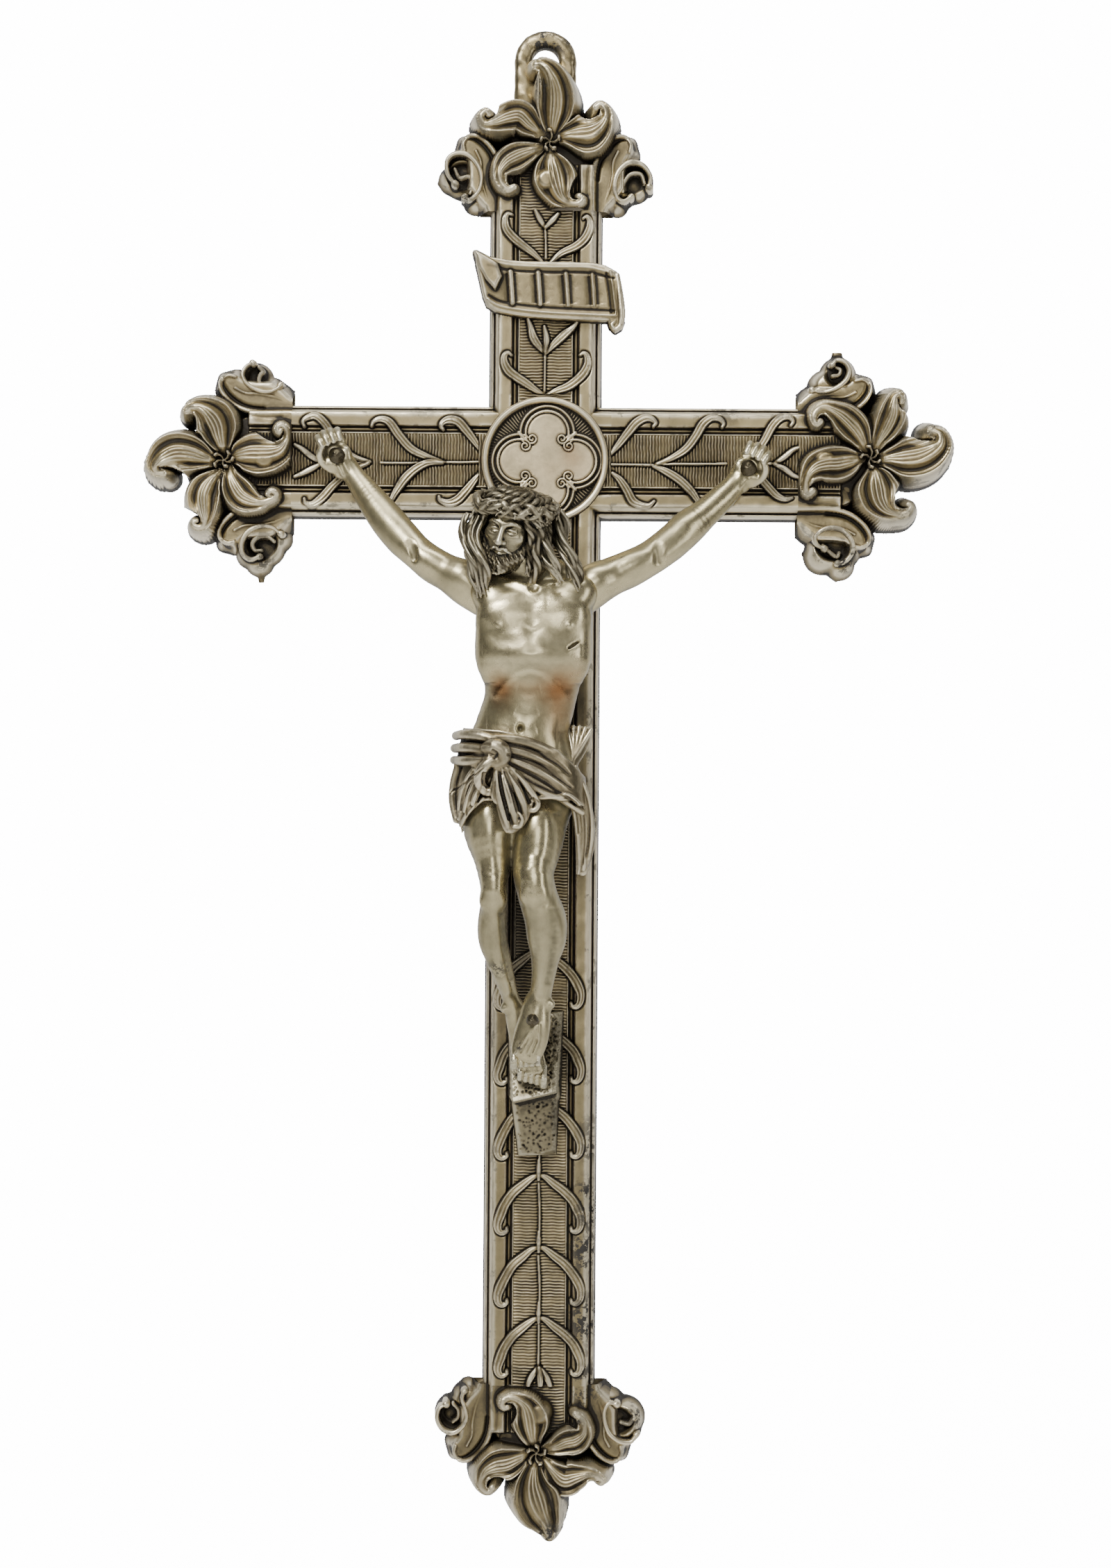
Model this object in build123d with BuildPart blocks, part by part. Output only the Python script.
from build123d import *
import os
from math import sin, cos, pi, radians, degrees, atan2, hypot

# A hanging wall crucifix: a hollow cross with ribbed panels, leaf tracery, a medallion,
# volutes and lily castings at the bar ends, a figure, and the screws and nails.
# Millimetres. The origin is the middle of the crossing on the wall plane; +X is the
# viewer's right, +Z is up and the front faces -Y. Left and right are the viewer's.
# A "level" is a distance off the wall, so a level of h lies at y = -h.

os.makedirs("parts", exist_ok=True)

# ---------------------------------------------------------------- shared dimensions
BORDER_Y = 13.5          # level of the front border
LEDGE_Y = 8.5            # level of the ledge line on the side walls
ARM_END = 99.0           # half length of the horizontal bar
TOP_END = 98.0           # top of the upright
BOTTOM_END = 322.0       # bottom of the upright
CAVITY_DEPTH = 9.6       # depth of the hollow, open at the back
RECESS_FLOOR = 11.9      # level of the sunk field floor
FIELD_START = 13.0       # the sunk fields start this far from the crossing
FIELD_END_GAP = 9.0      # and stop this far from the bar ends
RIB_CREST = 13.0         # level of the rib crests on the panels
STANDOFF_Y = 14.9        # level of the back of the scroll label and the footrest
MEDALLION_R = 20.9

BOLT_R = 1.5             # M3 shanks
PIN_R = 1.0              # scroll label pins
CLEARANCE = 0.05         # radial clearance round shanks and the medallion
BORE_R = BOLT_R + CLEARANCE
BORE_START = 5.0         # level where every bore starts, inside the hollow
BORE_END = 17.0          # level where bores through the cross and its cladding end

# the four bars: direction from the crossing (right, up), length
BARS = {
    "left": (-1, 0, ARM_END),
    "right": (1, 0, ARM_END),
    "top": (0, 1, TOP_END),
    "bottom": (0, -1, BOTTOM_END),
}

# fixing places (x, z)
LILY_BOLT_INSET = 6.5    # lily screws from the bar ends
LILY_BOLTS = {
    name: (right * (end - LILY_BOLT_INSET), up * (end - LILY_BOLT_INSET))
    for name, (right, up, end) in BARS.items()
}
FOOT_BOLTS = [(-5.0, -206.0), (4.0, -206.0)]
TITULUS_PINS = [(-13.4, 57.0), (13.4, 57.0)]
HAND_L, HAND_R = (-68.2, 0.0), (66.8, -3.2)
FOOT_NAIL = (-2.6, -183.4)

# ---------------------------------------------------------------- helpers
FRONT = Vector(0, -1, 0)
OVAL_POINTS = 10


def save(builder, node, label):
    builder.part.label = label
    export_step(builder.part, f"parts/{node}.step")


def front_plane(place, level):
    """Plane facing the front, centred on (x, z) at a level."""
    x, z = place
    return Plane(origin=(x, -level, z), x_dir=(1, 0, 0), z_dir=(0, -1, 0))


def disc(place, level, radius):
    with BuildSketch(front_plane(place, level)) as circle:
        Circle(radius)
    return circle.sketch


def bore(places, end=BORE_END, radius=BORE_R):
    """Cut holes in the active part from BORE_START to the end level."""
    with BuildSketch(Plane.XZ.offset(BORE_START)) as holes:
        with Locations(*places):
            Circle(radius)
    extrude(holes.sketch, amount=end - BORE_START, mode=Mode.SUBTRACT)


def oval(plane, half_width, half_depth, power):
    """Closed smooth superellipse; power 2 is an ellipse, more is squarer."""
    with BuildSketch(plane) as sketch:
        with BuildLine():
            points = []
            for i in range(OVAL_POINTS):
                angle = 2 * pi * i / OVAL_POINTS
                c, s = cos(angle), sin(angle)
                points.append((half_width * (abs(c) ** (2 / power)) * (1 if c >= 0 else -1),
                               half_depth * (abs(s) ** (2 / power)) * (1 if s >= 0 else -1)))
            Spline(*points, periodic=True)
        make_face()
    return sketch.sketch


def limb(stations, power=2.0):
    """Loft through ovals; stations are (x, y, z, half width, half depth).

    The solid is returned, so that several limbs can be fused by one add().
    """
    points = [Vector(x, y, z) for x, y, z, _, _ in stations]
    ovals = []
    for i, (_, _, _, half_width, half_depth) in enumerate(stations):
        along = (points[min(i + 1, len(points) - 1)] - points[max(i - 1, 0)]).normalized()
        across = along.cross(FRONT)
        if across.length > 0.25 or i == 0:
            side = across.normalized()
        else:                        # keep the last side where the limb turns to the front
            side = (side - along * side.dot(along)).normalized()
        plane = Plane(origin=points[i], x_dir=side, z_dir=along)
        ovals.append(oval(plane, half_width, half_depth, power))
    return loft(ovals, mode=Mode.PRIVATE)


# half width of a leaf along its midrib, as a share of its greatest half width
PETAL_WIDTHS = [0.30, 0.62, 0.86, 0.98, 1.00, 0.88, 0.62, 0.36, 0.16]
BLADE_WIDTHS = [0.25, 0.60, 0.95, 1.00, 0.85, 0.60, 0.42, 0.34, 0.26]
LEAF_STATIONS = len(PETAL_WIDTHS)
CURL_START = 0.62        # share of the midrib that stays uncurled


def leaf_path(start, tip, bow, curl):
    """Midrib points from start to tip, bowed sideways, the last part curled by degrees."""
    headings = []
    for i in range(LEAF_STATIONS):
        t = i / (LEAF_STATIONS - 1)
        k = max(0.0, (t - CURL_START) / (1 - CURL_START))
        headings.append(radians(curl) * k * k * (3 - 2 * k))
    run, rise = [0.0], [0.0]
    for i in range(1, LEAF_STATIONS):
        heading = 0.5 * (headings[i] + headings[i - 1])
        run.append(run[-1] + cos(heading))
        rise.append(rise[-1] + sin(heading))

    # scale and turn the curve to span start to tip
    (x0, z0), (x1, z1) = start, tip
    scale = hypot(x1 - x0, z1 - z0) / hypot(run[-1], rise[-1])
    turn = atan2(z1 - z0, x1 - x0) - atan2(rise[-1], run[-1])
    path = []
    for i in range(LEAF_STATIONS):
        t = i / (LEAF_STATIONS - 1)
        along, across = run[i] * scale, rise[i] * scale + bow * sin(pi * t)
        path.append((x0 + along * cos(turn) - across * sin(turn),
                     z0 + along * sin(turn) + across * cos(turn)))
    return path


def leaf_face(path, half_width, widths):
    """Add a flat leaf round a midrib to the active sketch."""
    left, right = [], []
    for i, (x, z) in enumerate(path):
        before_x, before_z = path[max(i - 1, 0)]
        after_x, after_z = path[min(i + 1, len(path) - 1)]
        span = hypot(after_x - before_x, after_z - before_z)
        normal_x, normal_z = -(after_z - before_z) / span, (after_x - before_x) / span
        w = half_width * widths[i]
        left.append((x + normal_x * w, z + normal_z * w))
        right.append((x - normal_x * w, z - normal_z * w))
    with BuildLine() as rim:
        Spline(*left)
        Spline(*right)
        Line(left[0], right[0])
        Line(left[-1], right[-1])
    make_face(rim.edges())


# ---------------------------------------------------------------- cross body
BACK_HW = 18.9           # half width of a bar at the wall
LEDGE_HW = 18.1          # just under the ledge
SHOULDER_HW = 17.4       # just above the ledge
FRONT_HW = 15.8          # at the front border
LEDGE_CUT = 0.6          # how far the bar ends draw in under the ledge
SHOULDER_CUT = 1.0       # above the ledge
FRONT_CUT = 2.2          # at the front border
CAVITY_HW = 15.4         # half width of the hollow
END_WALL = 3.0           # wall left between the hollow and the bar ends
RECESS_HW = 11.2         # half width of a sunk field
RECESS_CUT = 4.0         # depth of the cut, running out past the border
FLARE_H = 11.5           # level of the front of the flares
# flare outline: (distance back from the bar end, distance from the bar axis)
FLARE = [(16, 15.0), (16, 18.2), (6.5, 19.4), (1.2, 24.0), (1.2, 15.0)]


def bar_outline(half_width, end_cut):
    """The two crossed bars at one level, in the active sketch."""
    with Locations((0, (TOP_END - BOTTOM_END) / 2)):
        Rectangle(2 * half_width, TOP_END + BOTTOM_END - 2 * end_cut)
    Rectangle(2 * ARM_END - 2 * end_cut, 2 * half_width)


with BuildPart() as envelope:                    # the cross without its hollow
    with BuildSketch(Plane.XZ):
        bar_outline(BACK_HW, 0.0)
    with BuildSketch(Plane.XZ.offset(LEDGE_Y)):
        bar_outline(LEDGE_HW, LEDGE_CUT)
    loft(ruled=True)
    with BuildSketch(Plane.XZ.offset(LEDGE_Y)):
        bar_outline(SHOULDER_HW, SHOULDER_CUT)
    with BuildSketch(Plane.XZ.offset(BORDER_Y)):
        bar_outline(FRONT_HW, FRONT_CUT)
    loft(ruled=True)
    # flares where a bar widens towards its end casting
    with BuildSketch(Plane.XZ):
        for sx in (-1, 1):
            for sz in (-1, 1):
                upright_end = TOP_END if sz > 0 else BOTTOM_END
                arm_flare = [(sx * (ARM_END - back), sz * out) for back, out in FLARE]
                upright_flare = [(sx * out, sz * (upright_end - back)) for back, out in FLARE]
                for inner, outer, middle, tip, inner_end in (arm_flare, upright_flare):
                    with BuildLine():
                        Line(inner, outer)
                        ThreePointArc(outer, middle, tip)
                        Line(tip, inner_end)
                        Line(inner_end, inner)
                    make_face()
    extrude(amount=FLARE_H)

with BuildPart() as cross_body:
    add(envelope.part)
    with BuildSketch(Plane.XZ):                  # hollow, open at the back
        bar_outline(CAVITY_HW, END_WALL)
    extrude(amount=CAVITY_DEPTH, mode=Mode.SUBTRACT)
    with BuildSketch(Plane.XZ.offset(RECESS_FLOOR)):   # the four sunk fields
        for right, up, end in BARS.values():
            length = end - FIELD_END_GAP - FIELD_START
            middle = (FIELD_START + end - FIELD_END_GAP) / 2
            with Locations((right * middle, up * middle)):
                if up:
                    Rectangle(2 * RECESS_HW, length)
                else:
                    Rectangle(length, 2 * RECESS_HW)
    extrude(amount=RECESS_CUT, mode=Mode.SUBTRACT)
    bore([*LILY_BOLTS.values(), *FOOT_BOLTS, HAND_L, HAND_R, FOOT_NAIL, (0, 0)])
    bore(TITULUS_PINS, radius=PIN_R + CLEARANCE)
save(cross_body, "cross_body", "cross body")

# ---------------------------------------------------------------- ribbed panels
PANEL_HW = 9.0           # half width of a panel
PANEL_GAP = 0.2          # gap to each end of its sunk field
RIB_ROOT = 12.45         # level of the rib roots
RIB_PITCH = 1.03         # nominal; adjusted to fit a whole number of ribs
# one rib: (share of the pitch, level)
RIB = [(0.16, RIB_ROOT), (0.34, RIB_CREST), (0.72, RIB_CREST), (0.90, RIB_ROOT)]


def rib_profile(start, end):
    """Saw profile of a panel: (run along the bar, level)."""
    count = int(round((end - start) / RIB_PITCH))
    pitch = (end - start) / count
    points = [(start, RECESS_FLOOR), (start, RIB_ROOT)]
    for i in range(count):
        points += [(start + i * pitch + share * pitch, level) for share, level in RIB]
    return points + [(end, RIB_ROOT), (end, RECESS_FLOOR)]


def rib_block(bar):
    """Add the ribbed plate of one bar to the active part."""
    right, up, end = BARS[bar]
    profile = rib_profile(FIELD_START + PANEL_GAP, end - FIELD_END_GAP - PANEL_GAP)
    if up:
        plane = Plane.YZ
        points = [(-level, up * run) for run, level in profile]
    else:
        plane = Plane.XY
        points = [(right * run, -level) for run, level in profile]
    with BuildSketch(plane.offset(-PANEL_HW)) as saw:
        with BuildLine():
            Polyline(*points, close=True)
        make_face()
    extrude(saw.sketch, amount=2 * PANEL_HW)


# name, bar, bores
PANELS = [
    ("upper", "top", []),
    ("lower", "bottom", [*FOOT_BOLTS, FOOT_NAIL]),
    ("left", "left", [HAND_L]),
    ("right", "right", [HAND_R]),
]
for name, bar, bores in PANELS:
    with BuildPart() as panel:
        rib_block(bar)
        if bores:
            bore(bores)
    save(panel, f"{name}_panel", f"{name} ribbed panel")

# ---------------------------------------------------------------- leaf tracery
SPRAY_T = 1.3            # thickness, lying on the border plane
STEM_W = 1.7
BLADE_HW = 1.9           # half width of a blade
TWIG_HW = 1.1            # half width of an end twig blade
NAIL_SEAT_R = 3.2        # seat round a hand nail
FOOT_PASS_R = 2.7        # holes that let the footrest feet through
TRIM_Y = 13.0            # trimming cuts start at this level
TRIM_DEPTH = 4
LILY_TRIM = ((0, -329), (60, 26))   # room for the bottom lily: centre, size


def tracery(stem, pairs, twig, seat):
    """Add stem, blade pairs, end twig and nail seat to the active part.

    A fork is (apex, blades); a blade is (tip x, tip z, sideways bow, tip curl in degrees).
    """
    (x0, z0), (x1, z1) = stem
    with BuildSketch(Plane.XZ.offset(BORDER_Y)) as flat:
        heading = degrees(atan2(z1 - z0, x1 - x0))
        with Locations(Location(((x0 + x1) / 2, (z0 + z1) / 2), heading)):
            SlotOverall(hypot(x1 - x0, z1 - z0), STEM_W)
        for half_width, forks in ((BLADE_HW, pairs), (TWIG_HW, [twig])):
            for apex, blades in forks:
                for x, z, bow, curl in blades:
                    leaf_face(leaf_path(apex, (x, z), bow, curl), half_width, BLADE_WIDTHS)
        if seat:
            with Locations(seat):
                Circle(NAIL_SEAT_R)
    extrude(flat.sketch, amount=SPRAY_T)


def leaf_spray(name, stem, pairs, twig, seat=None, holes=(), lily_trim=False):
    """One tracery piece; holes are (place, radius)."""
    with BuildPart() as spray:
        tracery(stem, pairs, twig, seat)
        if holes:
            with BuildSketch(Plane.XZ.offset(BORE_START)):
                for place, radius in holes:
                    with Locations(place):
                        Circle(radius)
            extrude(amount=BORE_END - BORE_START, mode=Mode.SUBTRACT)
        with BuildSketch(Plane.XZ.offset(TRIM_Y)):
            Circle(MEDALLION_R + CLEARANCE)
            if lily_trim:
                with Locations(LILY_TRIM[0]):
                    Rectangle(*LILY_TRIM[1])
        extrude(amount=TRIM_DEPTH, mode=Mode.SUBTRACT)
    save(spray, f"{name}_spray", f"{name} leaf tracery")


LOWER_PAIRS, LOWER_FIRST_Z, LOWER_PITCH = 11, -39.3, 24.7
lower_forks = []
for i in range(LOWER_PAIRS):
    z = LOWER_FIRST_Z - LOWER_PITCH * i
    lower_forks.append(((0.0, z), [(-12.4, z - 19.0, -2.2, 95), (12.2, z - 19.0, 2.2, -95)]))
leaf_spray(
    "lower",
    stem=((0.0, -20.0), (0.0, -303.0)),
    pairs=lower_forks,
    twig=((0.0, -296.0), [(-4.0, -306.5, -1.0, 30), (4.6, -307.5, 1.0, -30)]),
    holes=[(FOOT_BOLTS[0], FOOT_PASS_R), (FOOT_BOLTS[1], FOOT_PASS_R), (FOOT_NAIL, BORE_R)],
    lily_trim=True,
)
leaf_spray(
    "upper",
    stem=((0.6, 19.0), (0.4, 86.0)),
    pairs=[((0.6, 27.0), [(-10.6, 41.0, 2.6, -100), (13.4, 41.5, -2.6, 100)]),
           ((0.3, 45.0), [(-8.0, 56.0, 1.5, -60), (8.0, 56.0, -1.5, 60)]),
           ((1.0, 66.0), [(-10.6, 86.4, 3.0, -110), (13.8, 85.4, -3.0, 110)])],
    twig=((0.6, 79.0), [(-3.6, 88.4, 1.0, -25), (4.4, 87.2, -1.0, 25)]),
)
leaf_spray(
    "left",
    stem=((-19.0, -1.3), (-80.0, -1.0)),
    pairs=[((-19.0, -1.4), [(-35.0, 12.2, 2.2, 85), (-35.8, -13.0, -2.2, -80)]),
           ((-38.5, -1.6), [(-57.0, 12.6, 2.6, 85), (-53.8, -12.6, -2.6, -80)]),
           ((-62.0, -1.2), [(-79.6, 12.6, 2.6, 85), (-81.0, -13.6, -2.6, -60)])],
    twig=((-75.5, -1.1), [(-83.0, 3.4, 0.8, 25), (-83.4, -4.4, -0.8, -25)]),
    seat=HAND_L,
    holes=[(HAND_L, BORE_R)],
)
leaf_spray(
    "right",
    stem=((19.0, -1.3), (80.0, -0.8)),
    pairs=[((19.0, -1.4), [(35.2, 12.2, -2.2, -85), (35.0, -13.2, 2.2, 80)]),
           ((38.5, -1.6), [(57.2, 12.6, -2.6, -85), (51.4, -12.8, 2.6, 80)]),
           ((62.0, -1.4), [(79.4, 13.4, -2.6, -85), (80.2, -12.4, 2.6, 60)])],
    twig=((75.5, -0.9), [(83.0, 3.8, -0.8, -25), (83.4, -4.2, 0.8, 25)]),
    seat=HAND_R,
    holes=[(HAND_R, BORE_R)],
)

# ---------------------------------------------------------------- medallion
MEDALLION_T = 1.6        # plain disc under the mouldings
MEDALLION_FACE = BORDER_Y + MEDALLION_T
RIM_W, RIM_H, RIM_TAPER = 1.9, 1.5, 18
LOBE_OFFSET = 9.0        # quatrefoil lobe centres from the middle
LOBE_OUTER_R, LOBE_INNER_R = 8.9, 7.6
HUB_OUTER_R, HUB_INNER_R = 9.8, 9.2
QUATREFOIL_H = 0.9
CUSP_OFFSET = 13.6       # rings at the cusps
CUSP_OUTER_R, CUSP_INNER_R, CUSP_H = 2.1, 1.0, 1.0

with BuildPart() as medallion:
    with BuildSketch(Plane.XZ.offset(BORDER_Y)):
        Circle(MEDALLION_R)
    extrude(amount=MEDALLION_T)
    with BuildSketch(Plane.XZ.offset(MEDALLION_FACE)):       # rim
        Circle(MEDALLION_R)
        Circle(MEDALLION_R - RIM_W, mode=Mode.SUBTRACT)
    extrude(amount=RIM_H, taper=RIM_TAPER)
    with BuildSketch(Plane.XZ.offset(MEDALLION_FACE)):       # quatrefoil moulding
        with PolarLocations(LOBE_OFFSET, 4, start_angle=0):
            Circle(LOBE_OUTER_R)
        Circle(HUB_OUTER_R)
        with PolarLocations(LOBE_OFFSET, 4, start_angle=0):
            Circle(LOBE_INNER_R, mode=Mode.SUBTRACT)
        Circle(HUB_INNER_R, mode=Mode.SUBTRACT)
    extrude(amount=QUATREFOIL_H)
    with BuildSketch(Plane.XZ.offset(MEDALLION_FACE)):       # ring at each cusp
        with PolarLocations(CUSP_OFFSET, 4, start_angle=45):
            Circle(CUSP_OUTER_R)
            Circle(CUSP_INNER_R, mode=Mode.SUBTRACT)
    extrude(amount=CUSP_H)
    with BuildSketch(Plane.XZ.offset(BORDER_Y - 1)):         # blind hole for the screw
        Circle(BORE_R)
    extrude(amount=2.0, mode=Mode.SUBTRACT)
save(medallion, "medallion", "crossing medallion")

# ---------------------------------------------------------------- volutes
VOLUTE_R = 8.4
VOLUTE_BODY = [(0.0, 5.6), (4.0, 7.2), (8.6, VOLUTE_R), (11.4, VOLUTE_R - 1.3)]  # level, radius
CUP_R, CUP_FLOOR, CUP_CUT = VOLUTE_R - 3.2, 7.6, 6
COIL_POINTS = 13
COIL_R, COIL_R_STEP = 5.4, 0.3       # spiral radius and its loss per point
COIL_Y, COIL_Y_STEP = 8.4, 0.05      # spiral level and its gain per point
COIL_LEAD, COIL_TURN = 40, 26        # degrees to the first point, and per point
COIL_WIRE_R = 1.15
WEB_W, WEB_H = 8.0, 7.0

# centre (x, z), the way the scroll opens in degrees, bar end of the web (x, z)
VOLUTES = {
    "left_upper": ((-95.1, 28.1), 90, (-95.1, 17.0)),
    "left_lower": ((-94.7, -27.4), 270, (-94.7, -17.0)),
    "right_upper": ((96.8, 30.6), 90, (94.8, 17.0)),
    "right_lower": ((96.3, -28.1), 270, (94.5, -17.0)),
    "top_left": ((-27.6, 93.2), 180, (-17.0, 93.2)),
    "top_right": ((28.6, 92.9), 0, (17.0, 92.9)),
    "bottom_left": ((-28.9, -319.1), 180, (-17.0, -317.0)),
    "bottom_right": ((28.2, -318.7), 0, (17.0, -317.0)),
}


def volute_scroll(centre, opening):
    """Flared body with a cup in front and a coil standing in the cup."""
    loft([disc(centre, level, radius) for level, radius in VOLUTE_BODY])
    extrude(disc(centre, CUP_FLOOR, CUP_R), amount=CUP_CUT, mode=Mode.SUBTRACT)
    with BuildLine() as coil:
        points = []
        for i in range(COIL_POINTS):
            angle = radians(opening + COIL_LEAD + COIL_TURN * i)
            radius = COIL_R - COIL_R_STEP * i
            points.append((centre[0] + radius * cos(angle), -COIL_Y - COIL_Y_STEP * i,
                           centre[1] + radius * sin(angle)))
        Spline(*points)
    path = coil.edges()[0]
    with BuildSketch(Plane(origin=path @ 0, z_dir=path % 0)) as wire:
        Circle(COIL_WIRE_R)
    sweep(wire.sketch, path=path)


def volute_web(centre, foot):
    """Web that ties a scroll back to the bar."""
    (x0, z0), (x1, z1) = centre, foot
    heading = degrees(atan2(z1 - z0, x1 - x0))
    with BuildSketch(Plane.XZ) as web:
        with Locations(Location(((x0 + x1) / 2, (z0 + z1) / 2), heading)):
            SlotOverall(hypot(x1 - x0, z1 - z0) + WEB_W, WEB_W)
    extrude(web.sketch, amount=WEB_H)


for name, (centre, opening, web_foot) in VOLUTES.items():
    with BuildPart() as volute:
        volute_scroll(centre, opening)
        volute_web(centre, web_foot)
        add(envelope.part, mode=Mode.SUBTRACT)
    save(volute, f"volute_{name}", f"{name.replace('_', ' ')} volute")

# ---------------------------------------------------------------- hanging eye
LOOP_R = 10.2
LOOP_HOLE_R = 4.5
LOOP_T = 7.0
LOOP_ROUND = 2.4
LOOP_X, LOOP_Z = -0.7, 133.5
LOOP_Y = 6.2                         # level of the middle of the eye
LOOP_BACK = LOOP_Y - LOOP_T / 2
SHANK_INSET = 0.7                    # the shank is thinner than the eye on each face
SHANK_BACK = LOOP_BACK + SHANK_INSET
SHANK_W, SHANK_L, SHANK_Z = 10.0, 28.0, 113.0
LOOP_SCREW = (LOOP_X, 108.0)
LOOP_CUT = 20                        # cuts pass right through

with BuildPart() as hanging_loop:
    with BuildSketch(front_plane((LOOP_X, LOOP_Z), LOOP_BACK)):
        Circle(LOOP_R)
    extrude(amount=LOOP_T)
    fillet(hanging_loop.edges().filter_by(GeomType.CIRCLE), LOOP_ROUND)
    with BuildSketch(front_plane((LOOP_X, SHANK_Z), SHANK_BACK)):
        Rectangle(SHANK_W, SHANK_L)              # shank let into the top casting
    extrude(amount=LOOP_T - 2 * SHANK_INSET)
    with BuildSketch(front_plane((LOOP_X, LOOP_Z), 0.0)):
        Circle(LOOP_HOLE_R)
    extrude(amount=LOOP_CUT, mode=Mode.SUBTRACT)
    with BuildSketch(front_plane(LOOP_SCREW, 0.0)):
        Circle(BORE_R)
    extrude(amount=LOOP_CUT, mode=Mode.SUBTRACT)
save(hanging_loop, "hanging_loop", "hanging eye")

# ---------------------------------------------------------------- lilies
LILY_BACK, LILY_BASE_H = 0.4, 16.6
LILY_BASE_R = 8.6
BASE_LENGTH, BASE_WIDTH, BASE_CURL = 0.90, 0.92, 0.4   # base lobes as shares of the petals
LILY_SEAT = (15.0, 8.0)              # seat along and across the bar
LILY_SEAT_OFFSET, LILY_SEAT_T = 6.5, 3.0
LILY_BORE_END = 18.2
LOOP_SCREW_BORE_END = 15.2
LOOP_HEAD_R, LOOP_HEAD_DEPTH = 3.0, 3.6
PETAL_DEPTHS = [1.5, 2.1, 2.5, 2.6, 2.5, 2.3, 2.0, 1.5, 0.9]   # half depth along a petal
PETAL_TIP_R = 1.25
MIDRIB_HW, MIDRIB_HD, MIDRIB_LIFT = 0.75, 0.7, 0.86
STAMEN_R, STAMEN_OFFSET, STAMEN_Y = 1.2, 2.6, 17.6

# centre (x, z), then petals: tip x, tip z, half width, sideways bow, tip curl in degrees
LILIES = {
    "left": ((-104.7, 0.1), [
        (-86.3, 8.0, 5.6, -3.0, 75), (-89.1, -13.5, 5.4, 2.0, 60),
        (-115.3, -23.6, 6.6, -1.5, 45), (-130.4, 0.2, 7.4, 1.5, -40),
        (-118.8, 17.2, 6.4, -2.0, -60)]),
    "right": ((107.7, 1.0), [
        (132.6, 7.3, 6.8, -2.0, 45), (118.3, 21.8, 6.2, 2.0, -55),
        (89.8, 12.8, 5.6, -1.5, 50), (88.1, -10.0, 5.2, -3.0, 70),
        (122.7, -15.0, 6.2, 2.5, 70)]),
    "top": ((1.4, 104.8), [
        (-3.7, 132.0, 6.4, 1.5, 40), (17.4, 117.0, 6.2, -2.5, 65),
        (12.1, 86.1, 5.6, 2.0, 65), (-11.2, 89.6, 5.2, 2.0, 55),
        (-19.9, 115.0, 6.2, 2.0, -50)]),
    "bottom": ((-0.1, -329.1), [
        (-11.3, -313.3, 5.8, -2.5, 70), (11.5, -314.9, 5.4, -2.5, 60),
        (22.1, -338.2, 6.2, 2.0, -50), (4.4, -357.5, 7.2, 1.5, -25),
        (-16.4, -341.4, 6.4, 1.5, 40)]),
}


def lily_base(name):
    """Thick lobed base clear of the cross, and the seat on the border plane."""
    (cx, cz), petals = LILIES[name]
    if name == "top":
        petals = petals[1:]          # no lobe under the upper petal, where the eye stands
    with BuildSketch(Plane.XZ.offset(LILY_BACK)) as base:
        with Locations((cx, cz)):
            Circle(LILY_BASE_R)
        for x, z, half_width, bow, curl in petals:
            tip = (cx + BASE_LENGTH * (x - cx), cz + BASE_LENGTH * (z - cz))
            path = leaf_path((cx, cz), tip, bow, BASE_CURL * curl)
            leaf_face(path, half_width * BASE_WIDTH, PETAL_WIDTHS)
    extrude(base.sketch, amount=LILY_BASE_H)
    add(envelope.part, mode=Mode.SUBTRACT)
    right, up, _ = BARS[name]
    seat_centre = (cx - LILY_SEAT_OFFSET * right, cz - LILY_SEAT_OFFSET * up)
    with BuildSketch(Plane.XZ.offset(BORDER_Y)) as seat:
        with Locations(Location(seat_centre, 0 if right else 90)):
            Rectangle(*LILY_SEAT)
    extrude(seat.sketch, amount=LILY_SEAT_T)


def lily_flower(name):
    """Five curling petals with raised midribs, and three stamens."""
    (cx, cz), petals = LILIES[name]
    limbs = []
    for tip_x, tip_z, half_width, bow, curl in petals:
        body, midrib = [], []
        for i, (x, z) in enumerate(leaf_path((cx, cz), (tip_x, tip_z), bow, curl)):
            t = i / (LEAF_STATIONS - 1)
            y = -(14.4 + 4.4 * sin(pi * min(1.0, 0.15 + 0.6 * t)))   # petals arch forwards
            depth = PETAL_DEPTHS[i]
            body.append((x, y, z, half_width * PETAL_WIDTHS[i], depth))
            if 1 < i < LEAF_STATIONS - 2:
                midrib.append((x, y - depth * MIDRIB_LIFT, z, MIDRIB_HW, MIDRIB_HD))
        limbs += [limb(body), limb(midrib)]
        with Locations(body[-1][:3]):
            Sphere(PETAL_TIP_R)
    add(limbs)
    for k in range(3):
        angle = radians(200 + 62 * k)
        with Locations((cx + STAMEN_OFFSET * cos(angle), -STAMEN_Y,
                        cz + STAMEN_OFFSET * sin(angle))):
            Sphere(STAMEN_R)


for name in LILIES:
    with BuildPart() as lily_core:
        lily_base(name)
        lily_flower(name)
        bore([LILY_BOLTS[name]], LILY_BORE_END)
        if name == "top":            # socket and screw hole for the hanging eye
            add(hanging_loop.part, mode=Mode.SUBTRACT)
            bore([LOOP_SCREW], LOOP_SCREW_BORE_END)
            extrude(disc(LOOP_SCREW, 0.0, LOOP_HEAD_R), amount=LOOP_HEAD_DEPTH,
                    mode=Mode.SUBTRACT)
    with BuildPart() as lily:        # drop slivers cut loose by the cross
        add(lily_core.part.solids().sort_by(SortBy.VOLUME)[-1])
    save(lily, f"{name}_lily", f"{name} lily casting")

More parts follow.
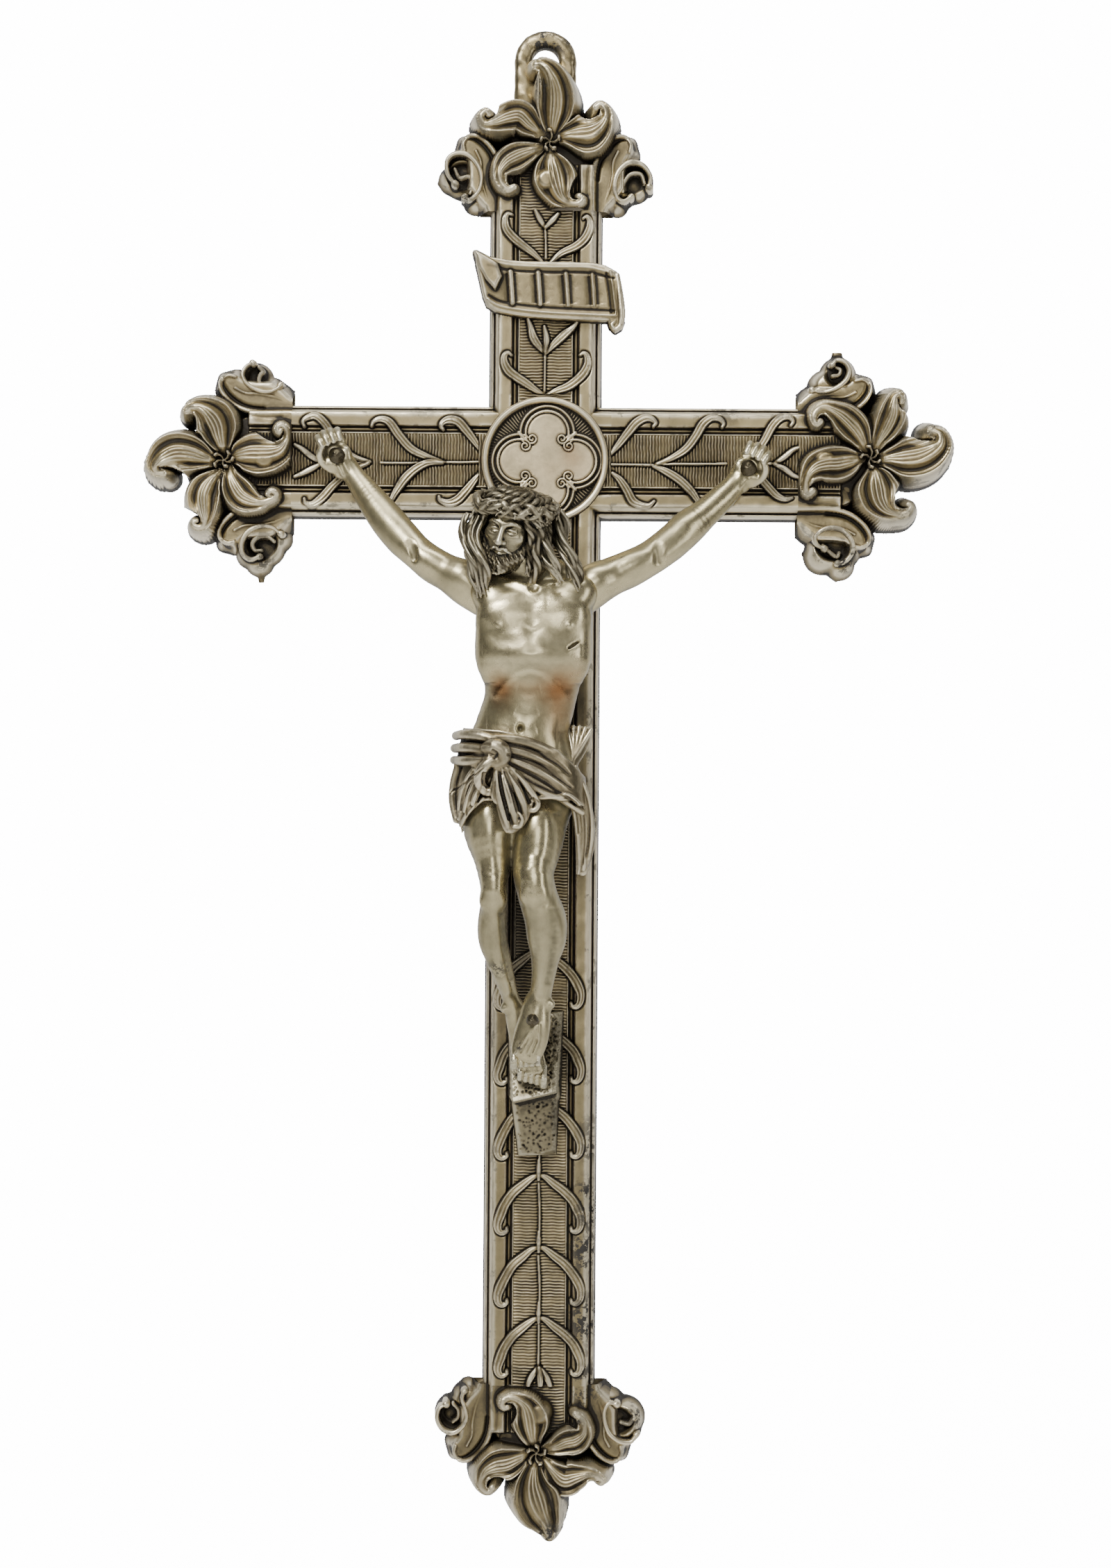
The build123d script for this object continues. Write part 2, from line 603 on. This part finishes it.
# ---------------------------------------------------------------- scroll label
LABEL_T = 2.0
LABEL_FACE = STANDOFF_Y + LABEL_T
BAND_T = 0.7
REED_T = 0.9
LABEL_FOOT_R = 2.4
LABEL_BORE_END = 16.2

# edges of the label (x, z): top, right, bottom, left
LABEL_EDGES = [
    [(-23.8, 67.9), (-17.0, 66.0), (-5.5, 64.4), (8.0, 64.6), (18.6, 63.4)],
    [(18.6, 63.4), (21.6, 60.0), (23.2, 52.0), (24.2, 45.8)],
    [(24.2, 45.8), (14.0, 47.2), (-2.0, 48.0), (-12.0, 49.2), (-19.6, 50.4)],
    [(-19.6, 50.4), (-21.6, 56.0), (-22.6, 62.0), (-23.8, 67.9)],
]
# raised bands (x, z): upper edge to the right, lower edge back to the left
LABEL_BANDS = [
    ([(-22.0, 66.6), (-5.5, 63.4), (8.0, 63.6), (18.4, 62.4)],
     [(18.6, 60.8), (8.0, 62.0), (-5.5, 61.8), (-21.6, 64.6)]),
    ([(-19.2, 53.4), (-12.0, 52.0), (-2.0, 50.6), (14.0, 49.8), (22.6, 48.8)],
     [(23.0, 47.0), (14.0, 48.0), (-2.0, 48.9), (-12.0, 50.2), (-19.2, 51.4)]),
]
# rolled ends: x, y, z, half width, half depth
LABEL_ROLLS = [
    [(-23.6, -17.6, 68.2, 1.7, 1.7), (-22.6, -18.4, 60.0, 2.1, 2.1),
     (-19.8, -17.8, 50.4, 1.5, 1.5)],
    [(19.0, -17.6, 63.4, 1.3, 1.3), (22.6, -18.4, 55.0, 1.9, 1.9),
     (24.0, -17.6, 45.6, 1.4, 1.4)],
]

with BuildPart() as titulus_scroll:
    with BuildSketch(Plane.XZ.offset(STANDOFF_Y)):
        with BuildLine():
            for edge in LABEL_EDGES:
                Spline(*edge)
        make_face()
    extrude(amount=LABEL_T)
    with BuildSketch(Plane.XZ.offset(LABEL_FACE)):           # edge band top and bottom
        for upper, lower in LABEL_BANDS:
            with BuildLine():
                Spline(*upper)
                Line(upper[-1], lower[0])
                Spline(*lower)
                Line(lower[-1], upper[0])
            make_face()
    extrude(amount=BAND_T)
    with BuildSketch(Plane.XZ.offset(LABEL_FACE)):           # four plain reeds
        for k in range(4):
            with Locations(Location((-10.2 + 7.6 * k, 57.0 - 0.22 * k), 80)):
                Ellipse(4.3, 1.5)
    extrude(amount=REED_T)
    with BuildSketch(Plane.XZ.offset(BORDER_Y)):             # feet on the border
        with Locations(*TITULUS_PINS):
            Circle(LABEL_FOOT_R)
    extrude(amount=STANDOFF_Y - BORDER_Y)
    add([limb(roll) for roll in LABEL_ROLLS])
    bore(TITULUS_PINS, LABEL_BORE_END, PIN_R + CLEARANCE)
save(titulus_scroll, "titulus_scroll", "scroll label")

# ---------------------------------------------------------------- footrest
FOOTREST_HW = 14.0
FOOTREST_CUT = 40                    # passes the front of the block
FOOTREST_FOOT_R = 2.6
FOOTREST_BORE_END = 22.0
FOOTREST_SIDE = [                    # side view (y, z)
    (-STANDOFF_Y, -181.0), (-16.6, -182.0), (-30.0, -209.8),
    (-30.0, -212.6), (-18.0, -230.4), (-STANDOFF_Y, -230.4)]
FOOTREST_FRONT = [                   # front view (x, z)
    (-11.2, -187.8), (7.6, -181.9), (6.2, -210.5),
    (5.6, -229.4), (-7.2, -230.0), (-9.8, -211.0)]

with BuildPart() as footrest:
    with BuildSketch(Plane.YZ.offset(-FOOTREST_HW)):
        with BuildLine():
            Polyline(*FOOTREST_SIDE, close=True)
        make_face()
    extrude(amount=2 * FOOTREST_HW)
    with BuildSketch(Plane.XZ):
        with BuildLine():
            Polyline(*FOOTREST_FRONT, close=True)
        make_face()
    extrude(amount=FOOTREST_CUT, mode=Mode.INTERSECT)
    with BuildSketch(Plane.XZ.offset(RIB_CREST)):            # feet on the ribbed panel
        with Locations(*FOOT_BOLTS):
            Circle(FOOTREST_FOOT_R)
    extrude(amount=STANDOFF_Y - RIB_CREST)
    bore(FOOT_BOLTS, FOOTREST_BORE_END)
    bore([FOOT_NAIL], FOOTREST_CUT)
save(footrest, "footrest", "sloping footrest")

# ---------------------------------------------------------------- figure, trunk and legs
# stations: x, y, z, half width, half depth
TORSO = [
    (-6.5, -37.5, -35.5, 5.6, 5.6), (-5.0, -35.5, -39.5, 8.6, 6.8),
    (-3.3, -34.5, -43.3, 15.4, 8.4), (-3.1, -34.0, -49.0, 18.6, 11.5),
    (-3.0, -35.0, -55.8, 19.4, 13.0), (-3.2, -36.0, -64.8, 18.2, 13.4),
    (-3.8, -35.0, -74.9, 15.2, 11.5), (-4.4, -34.0, -81.5, 14.0, 10.4),
    (-6.6, -33.0, -89.5, 15.5, 10.8), (-7.5, -33.0, -98.5, 17.8, 12.0),
    (-7.2, -33.0, -107.5, 18.6, 12.4), (-7.4, -34.0, -116.0, 16.6, 11.2),
    (-7.4, -35.0, -121.5, 11.0, 8.0)]
LEFT_LEG = [
    (-16.4, -34.0, -106.0, 8.2, 9.0), (-17.0, -34.0, -115.4, 8.6, 10.0),
    (-17.2, -36.0, -122.6, 8.1, 9.8), (-15.8, -38.0, -130.6, 6.4, 8.6),
    (-15.4, -40.0, -138.4, 4.9, 7.0), (-15.2, -39.5, -143.9, 4.4, 6.4),
    (-15.6, -38.0, -149.7, 4.3, 6.0), (-15.5, -36.0, -156.3, 4.4, 6.0),
    (-14.1, -33.5, -163.1, 4.2, 5.2), (-12.0, -31.0, -170.0, 3.5, 4.2),
    (-9.9, -28.8, -176.9, 3.0, 3.6), (-8.0, -27.6, -183.3, 3.0, 3.4)]
RIGHT_LEG = [
    (-0.6, -34.0, -106.0, 8.6, 9.4), (-0.8, -35.0, -115.3, 8.8, 10.4),
    (-0.9, -38.0, -122.9, 8.5, 10.4), (-1.8, -41.0, -129.6, 7.5, 9.6),
    (-2.6, -43.5, -135.7, 6.6, 8.4), (-1.6, -44.0, -141.4, 6.4, 7.6),
    (0.1, -43.0, -147.2, 6.4, 7.2), (1.3, -41.5, -152.6, 6.0, 7.0),
    (1.5, -40.0, -157.0, 5.5, 6.6), (1.4, -38.0, -162.9, 4.7, 5.6),
    (0.8, -36.0, -169.7, 3.9, 4.6), (-0.2, -34.6, -176.5, 3.6, 4.2),
    (-1.2, -34.0, -181.5, 3.9, 4.2)]
REAR_FOOT = [                        # lies on the slope of the footrest
    (-8.6, -27.6, -180.0, 3.2, 3.6), (-6.6, -27.0, -186.0, 3.9, 3.7),
    (-3.6, -27.6, -193.0, 4.6, 3.4), (-1.0, -29.2, -199.6, 5.0, 2.8),
    (0.3, -30.6, -203.6, 4.4, 2.0)]
FRONT_FOOT = [                       # crossed over the rear foot
    (-0.6, -34.2, -178.0, 3.8, 4.2), (-1.8, -34.6, -184.0, 4.6, 4.2),
    (-2.8, -34.8, -190.0, 5.2, 3.6), (-3.2, -35.8, -195.0, 5.0, 2.7),
    (-3.2, -36.6, -198.0, 4.2, 1.9)]
TORSO_POWER = 2.25
TOE_PITCH = 2.15
TOE_RADII = [1.15, 1.2, 1.3, 1.35, 1.7]
KNEES, KNEE_R = [(-15.4, -44.0, -141.0), (-1.6, -49.0, -141.6)], 3.1
BREASTS, BREAST_R = [(-10.6, -41.2, -54.4), (4.6, -41.2, -54.4)], 7.4


def toes(x, y, z, lean, radii):
    """Five toes in a row round the middle one; lean is the rise in z per toe."""
    for k, radius in enumerate(radii):
        with Locations((x + TOE_PITCH * (k - 2), y + 0.25 * abs(k - 1),
                        z + lean * (k - 2) + 0.35 * abs(k - 1))):
            Sphere(radius)


with BuildPart() as corpus_body:
    add([limb(TORSO, TORSO_POWER), limb(LEFT_LEG), limb(RIGHT_LEG),
         limb(REAR_FOOT), limb(FRONT_FOOT)])
    toes(0.2, -31.0, -204.2, 0.35, TOE_RADII)
    toes(-3.0, -36.8, -198.8, -0.35, TOE_RADII[::-1])
    for knee in KNEES:
        with Locations(knee):
            Sphere(KNEE_R)
    for breast in BREASTS:
        with Locations(breast):
            Sphere(BREAST_R)
    bore([FOOT_NAIL], 60.0)
    add(footrest.part, mode=Mode.SUBTRACT)
save(corpus_body, "corpus_body", "figure, trunk and legs")

# ---------------------------------------------------------------- figure, arms
# stations from shoulder to wrist: x, y, z, half width, half depth
LEFT_ARM = [
    (-19.5, -34.0, -46.0, 6.8, 6.8), (-28.8, -33.0, -40.5, 6.4, 6.2),
    (-35.2, -32.0, -36.3, 5.5, 5.6), (-41.3, -30.5, -32.1, 5.5, 5.5),
    (-46.5, -28.5, -27.0, 5.6, 5.3), (-50.9, -26.5, -21.9, 5.6, 5.2),
    (-55.2, -24.0, -16.4, 5.1, 4.7), (-58.7, -21.8, -11.4, 4.5, 4.1),
    (-62.5, -20.0, -6.4, 3.7, 3.4), (-65.0, -19.4, -3.0, 3.9, 3.2)]
RIGHT_ARM = [
    (11.0, -34.0, -46.0, 6.8, 6.8), (18.9, -33.0, -41.4, 6.4, 6.4),
    (26.4, -32.0, -37.5, 5.8, 5.8), (34.3, -30.5, -33.6, 5.6, 5.6),
    (41.6, -28.5, -28.1, 5.6, 5.4), (47.3, -26.5, -22.7, 5.6, 5.2),
    (52.4, -24.0, -18.4, 4.9, 4.6), (57.6, -21.6, -13.4, 4.4, 4.0),
    (61.6, -20.2, -9.0, 3.8, 3.5), (64.4, -19.5, -5.6, 3.9, 3.2)]
PALM_RISE = 0.2                      # middle of the palm above the nail
# distance along the hand, y, half width, half depth
PALM = [(-5.0, -19.4, 3.9, 3.2), (0.0, -19.2, 4.9, 3.3), (4.6, -19.2, 5.4, 2.9)]
FINGER = [(2.6, -19.5, 1.3, 1.4), (7.4, -20.6, 1.3, 1.35), (9.0, -23.2, 1.2, 1.2),
          (7.7, -25.0, 1.05, 1.05), (7.1, -25.7, 0.55, 0.55)]
FIRST_FINGER, FINGER_PITCH = -3.4, 2.25      # places across the hand
# distance along and across the hand, y, half width, half depth
THUMB = [(-2.0, 3.4, -20.4, 1.7, 1.7), (1.4, 5.2, -22.2, 1.4, 1.4),
         (3.6, 3.6, -23.6, 1.1, 1.1)]


def hand(nail_place, pointing, side):
    """Limbs of an open palm at the nail, four half-curled fingers and a thumb.

    Pointing is the finger direction (x, z); side turns the thumb to either edge.
    """
    palm_x, palm_z = nail_place[0], nail_place[1] + PALM_RISE
    along_x, along_z = pointing
    across_x, across_z = -along_z * side, along_x * side

    def station(along, across, y, half_width, half_depth):
        return (palm_x + along * along_x + across * across_x, y,
                palm_z + along * along_z + across * across_z, half_width, half_depth)

    limbs = [limb([station(along, 0.0, *rest) for along, *rest in PALM])]
    for k in range(4):
        across = FIRST_FINGER + FINGER_PITCH * k
        limbs.append(limb([station(along, across, *rest) for along, *rest in FINGER]))
    limbs.append(limb([station(*row) for row in THUMB]))
    return limbs


def corpus_arm(name, stations, nail_place, pointing, side):
    with BuildPart() as arm:
        add([limb(stations), *hand(nail_place, pointing, side)])
        bore([nail_place], 40.0)
        add(corpus_body.part, mode=Mode.SUBTRACT)
    save(arm, f"corpus_{name}_arm", f"figure, {name} arm")
    return arm


corpus_left_arm = corpus_arm("left", LEFT_ARM, HAND_L, (-0.42, 0.907), 1)
corpus_right_arm = corpus_arm("right", RIGHT_ARM, HAND_R, (0.50, 0.866), -1)

# ---------------------------------------------------------------- figure, head and crown
# both modelled upright about the head's own centre, then bowed and turned
HEAD_AT = Location((-9.4, -42.0, -25.8), (16, 8, -20))
# stations: x, y, z, half width, half depth
SKULL = [
    (0, -4.6, -14.6, 2.0, 1.8), (0, -4.0, -12.8, 4.4, 3.8), (0, -2.6, -9.0, 6.6, 6.8),
    (0, -1.2, -4.0, 7.8, 8.6), (0, -0.4, 1.5, 8.4, 9.6), (0, 0.2, 6.5, 8.2, 9.4),
    (0, 0.6, 10.6, 6.2, 7.2), (0, 0.8, 12.8, 2.4, 2.8)]
NOSE = [(0, -9.4, 3.6, 0.9, 0.9), (0, -11.2, 0.0, 1.2, 1.3),
        (0, -11.8, -2.2, 1.7, 1.5), (0, -10.0, -3.2, 1.2, 0.9)]
CHIN = [(0, -9.2, -6.6, 1.7, 1.0), (0, -7.6, -9.6, 2.4, 2.0), (0, -7.2, -13.0, 2.4, 2.0)]
BACK_HAIR = [(0, 4.4, 12.5, 5.6, 3.8), (0, 6.4, 5.0, 9.4, 4.4),
             (0, 6.4, -5.0, 9.6, 4.4), (0, 5.4, -13.0, 7.0, 3.4)]
# the next four are for the right side and are mirrored for the left
BROW = [(6.4, -6.8, 3.2, 0.8, 0.8), (3.6, -9.0, 4.4, 1.0, 1.0), (0.8, -9.5, 3.7, 0.8, 0.8)]
MOUSTACHE = [(0.2, -9.9, -4.6, 0.9, 0.9), (2.6, -9.3, -5.2, 0.9, 0.9),
             (4.8, -7.6, -7.0, 0.8, 0.8)]
BEARD_POINT = [(5.6, -5.0, -7.4, 1.9, 1.9), (4.2, -6.4, -12.0, 2.2, 2.1),
               (1.8, -7.0, -16.6, 1.5, 1.5)]
SIDE_HAIR = [(2.0, -5.4, 11.6, 2.6, 2.6), (7.6, -4.0, 8.4, 3.2, 3.2),
             (10.4, -1.0, 1.0, 3.6, 3.4), (10.8, 0.6, -6.0, 3.6, 3.4),
             (9.8, 1.4, -12.0, 2.8, 2.8), (10.0, 2.0, -17.0, 1.5, 1.5)]
EYE_X, EYE_Y, EYE_Z, EYE_R = 3.3, -8.3, 1.7, 1.55


def on_side(stations, side):
    return [(side * x, *rest) for x, *rest in stations]


with BuildPart() as head_core:
    head_limbs = [limb(SKULL), limb(NOSE)]
    for side in (-1, 1):
        with Locations((side * EYE_X, EYE_Y, EYE_Z)):
            Sphere(EYE_R)
        head_limbs += [limb(on_side(stations, side))
                       for stations in (BROW, MOUSTACHE, BEARD_POINT, SIDE_HAIR)]
    head_limbs += [limb(CHIN), limb(BACK_HAIR)]
    add(head_limbs)

CROWN_Y, CROWN_Z = 0.6, 5.8          # middle of the ring
RING_R, RING_WIRE_R = 12.6, 1.25
PLAIT_R, PLAIT_KNOT_R, PLAIT_RISE = 12.9, 1.3, 0.8
SPIKE_RING_R = 13.3
SPIKE_COUNT = 9                      # spikes, and crossings on each edge of the plait

with BuildPart() as crown_core:
    with BuildSketch(Plane(origin=(0, CROWN_Y, 0), x_dir=(1, 0, 0), z_dir=(0, -1, 0))):
        with Locations((RING_R, CROWN_Z)):
            Circle(RING_WIRE_R)
    revolve(axis=Axis((0, CROWN_Y, 0), (0, 0, 1)))
    with Locations((0, CROWN_Y, CROWN_Z)):
        for start, rise in ((7, PLAIT_RISE), (27, -PLAIT_RISE)):     # crossings of the plait
            with PolarLocations(PLAIT_R, SPIKE_COUNT, start_angle=start):
                with Locations((0, 0, rise)):
                    Sphere(PLAIT_KNOT_R)
        with PolarLocations(SPIKE_RING_R, SPIKE_COUNT, start_angle=17):
            with Locations(Location((0, 0, 0), (0, 70, 0))):
                Cone(0.7, 0.15, 3.0, align=(Align.CENTER, Align.CENTER, Align.MIN))

with BuildPart() as crown:
    add(crown_core.part.moved(HEAD_AT))
save(crown, "crown", "plaited crown")

with BuildPart() as head_cut:        # the crown lies in a groove of the hair
    add(head_core.part.moved(HEAD_AT))
    for neighbour in (corpus_body, crown, corpus_left_arm, corpus_right_arm):
        add(neighbour.part, mode=Mode.SUBTRACT)
with BuildPart() as corpus_head:     # keep only the largest solid
    add(head_cut.part.solids().sort_by(SortBy.VOLUME)[-1])
save(corpus_head, "corpus_head", "figure, head")

# ---------------------------------------------------------------- loincloth
# stations: x, y, z, half width, half depth
WRAP = [
    (-6.4, -33.0, -84.0, 18.6, 14.0), (-7.0, -33.0, -92.0, 19.4, 14.4),
    (-7.4, -33.2, -100.0, 20.6, 15.0), (-7.2, -33.8, -108.0, 21.6, 15.6),
    (-6.6, -34.6, -116.0, 21.6, 16.4), (-5.8, -36.0, -125.0, 20.6, 16.6)]
WRAP_POWER = 2.3
WRAP_CUT = 60                        # passes the front of the wrap
WAIST_FOLDS = [
    [(-26.2, -33.0, -93.6, 1.6, 1.6), (-20.0, -43.4, -93.6, 1.7, 1.7),
     (-9.0, -47.0, -95.0, 1.8, 1.8), (2.0, -46.4, -99.4, 1.8, 1.8),
     (10.6, -41.0, -104.0, 1.7, 1.7), (14.2, -33.0, -109.0, 1.5, 1.5)],
    [(-26.6, -34.0, -98.4, 1.4, 1.4), (-18.0, -46.0, -98.6, 1.6, 1.6),
     (-6.0, -48.0, -100.0, 1.6, 1.6), (4.0, -47.0, -104.8, 1.6, 1.6),
     (13.0, -40.0, -111.0, 1.4, 1.4)],
]
KNOT = [(-19.6, -48.6, -97.0, 2.4, 2.4), (-15.6, -51.0, -100.0, 3.2, 2.8),
        (-13.0, -50.0, -104.6, 2.6, 2.4), (-16.0, -50.0, -108.6, 1.8, 1.8)]
FOLD_TOP = -100.6                    # top z of the front folds
FOLD_ENDS = [-112.0, -118.0, -123.6, -120.0, -113.4]   # bottom z of each
# slanting waist and scalloped hem (x, z)
WAIST = [(-34.0, -87.0), (-24.9, -90.0), (-14.0, -90.6), (-4.0, -93.4),
         (5.0, -97.0), (10.0, -102.0), (20.0, -108.0)]
HEM = [(20.0, -121.0), (10.0, -116.0), (5.0, -114.6), (-2.0, -121.0), (-7.6, -124.6),
       (-12.0, -119.0), (-17.0, -110.6), (-26.0, -120.6), (-34.0, -124.0)]


def front_fold(k, z_end):
    """Fold falling from the knot, spreading to the right with k."""
    x_top, x_end = -14.6 + 1.9 * k, -13.6 + 3.4 * k
    return limb([
        (x_top, -49.2, FOLD_TOP, 1.3, 1.4),
        ((x_top + x_end) / 2 - 0.6, -51.0, (FOLD_TOP + z_end) / 2, 1.7, 1.7),
        (x_end, -49.6, z_end, 1.5, 1.3)])


def side_fold(k):
    """Fold left of the knot, stepping left and back with k."""
    return limb([
        (-17.6 - 1.2 * k, -47.0 + 1.2 * k, -102.0, 1.1, 1.2),
        (-20.0 - 1.6 * k, -47.6 + 1.8 * k, -109.0, 1.3, 1.4),
        (-21.0 - 1.7 * k, -47.0 + 2.4 * k, -116.0 - 0.8 * k, 1.2, 1.2)])


with BuildPart() as loincloth:
    add([limb(WRAP, WRAP_POWER)])
    with BuildSketch(Plane.XZ):
        with BuildLine():
            Spline(*WAIST)
            Line(WAIST[-1], HEM[0])
            Spline(*HEM)
            Line(HEM[-1], WAIST[0])
        make_face()
    extrude(amount=WRAP_CUT, mode=Mode.INTERSECT)
    add([limb(fold) for fold in WAIST_FOLDS])
    add([limb(KNOT),
         *[front_fold(k, z_end) for k, z_end in enumerate(FOLD_ENDS)],
         *[side_fold(k) for k in range(4)]])
    add(corpus_body.part, mode=Mode.SUBTRACT)
save(loincloth, "loincloth", "loincloth")

TAIL_FOLDS = [
    [(16.8, -30.0, -92.4, 1.6, 0.9), (15.4, -31.0, -97.0, 3.4, 1.5),
     (13.2, -34.0, -102.4, 2.6, 2.0)],
    [(12.0, -34.0, -101.0, 2.6, 2.4), (15.2, -34.6, -110.0, 2.4, 3.2),
     (16.4, -33.6, -120.0, 3.0, 3.4), (15.2, -32.4, -130.0, 3.4, 2.6),
     (13.0, -31.4, -138.6, 1.8, 1.6)],
    [(13.4, -31.0, -112.0, 1.6, 2.0), (12.4, -31.0, -124.0, 2.2, 2.0),
     (11.0, -31.0, -134.0, 1.8, 1.6)],
]
with BuildPart() as loincloth_tail:
    add([limb(fold) for fold in TAIL_FOLDS])
    add(loincloth.part, mode=Mode.SUBTRACT)
    add(corpus_body.part, mode=Mode.SUBTRACT)
save(loincloth_tail, "loincloth_tail", "loincloth tail")

# ---------------------------------------------------------------- nails and nuts
NAIL_END = 6.2                       # level of the shank end, inside the hollow
NAIL_DOME = [(0.0, 2.7), (0.9, 2.5), (1.7, 1.5)]     # height over the seat, radius
NUT_R, NUT_T = 3.05, 2.4
# name, place, level where the head bears
NAILS = [
    ("left_hand", HAND_L, 22.9),
    ("right_hand", HAND_R, 22.9),
    ("foot", FOOT_NAIL, 39.4),
]

for name, place, seat in NAILS:
    with BuildPart() as nail:
        extrude(disc(place, NAIL_END, BOLT_R), amount=seat - NAIL_END)
        loft([disc(place, seat + height, radius) for height, radius in NAIL_DOME])
    save(nail, f"{name}_nail", f"{name.replace('_', ' ')} nail")

with BuildPart() as fixing_nuts:
    for _, place, _ in NAILS:
        with BuildSketch(front_plane(place, CAVITY_DEPTH - NUT_T)):
            RegularPolygon(NUT_R, 6)
            Circle(BORE_R, mode=Mode.SUBTRACT)
        extrude(amount=NUT_T)
save(fixing_nuts, "fixing_nuts", "nail nuts")

# ---------------------------------------------------------------- screws and pins
SLOT_W, SLOT_DEPTH = 0.8, 0.9


def screw(place, seat, end, radius, head_r, head_h):
    """Slotted pan-head screw put in from the back; its head ends at the seat level."""
    extrude(disc(place, seat, radius), amount=end - seat)
    extrude(disc(place, seat - head_h, head_r), amount=head_h)
    with BuildSketch(front_plane(place, seat - head_h)) as slot:
        Rectangle(2 * head_r + 1, SLOT_W)
    extrude(slot.sketch, amount=SLOT_DEPTH, mode=Mode.SUBTRACT)


def screw_set(node, label, places, end, seat=CAVITY_DEPTH,
              radius=BOLT_R, head_r=2.7, head_h=1.9):
    with BuildPart() as screws:
        for place in places:
            screw(place, seat, end, radius, head_r, head_h)
    save(screws, node, label)


screw_set("lily_screws", "end casting screws", LILY_BOLTS.values(), end=17.6)
screw_set("footrest_screws", "footrest screws", FOOT_BOLTS, end=21.4)
screw_set("medallion_screw", "medallion screw", [(0, 0)], end=14.4)
screw_set("loop_screw", "hanging eye screw", [LOOP_SCREW], end=14.6,
          seat=SHANK_BACK, head_h=1.6)
screw_set("titulus_pins", "scroll label pins", TITULUS_PINS, end=15.9,
          radius=PIN_R, head_r=1.8, head_h=1.0)
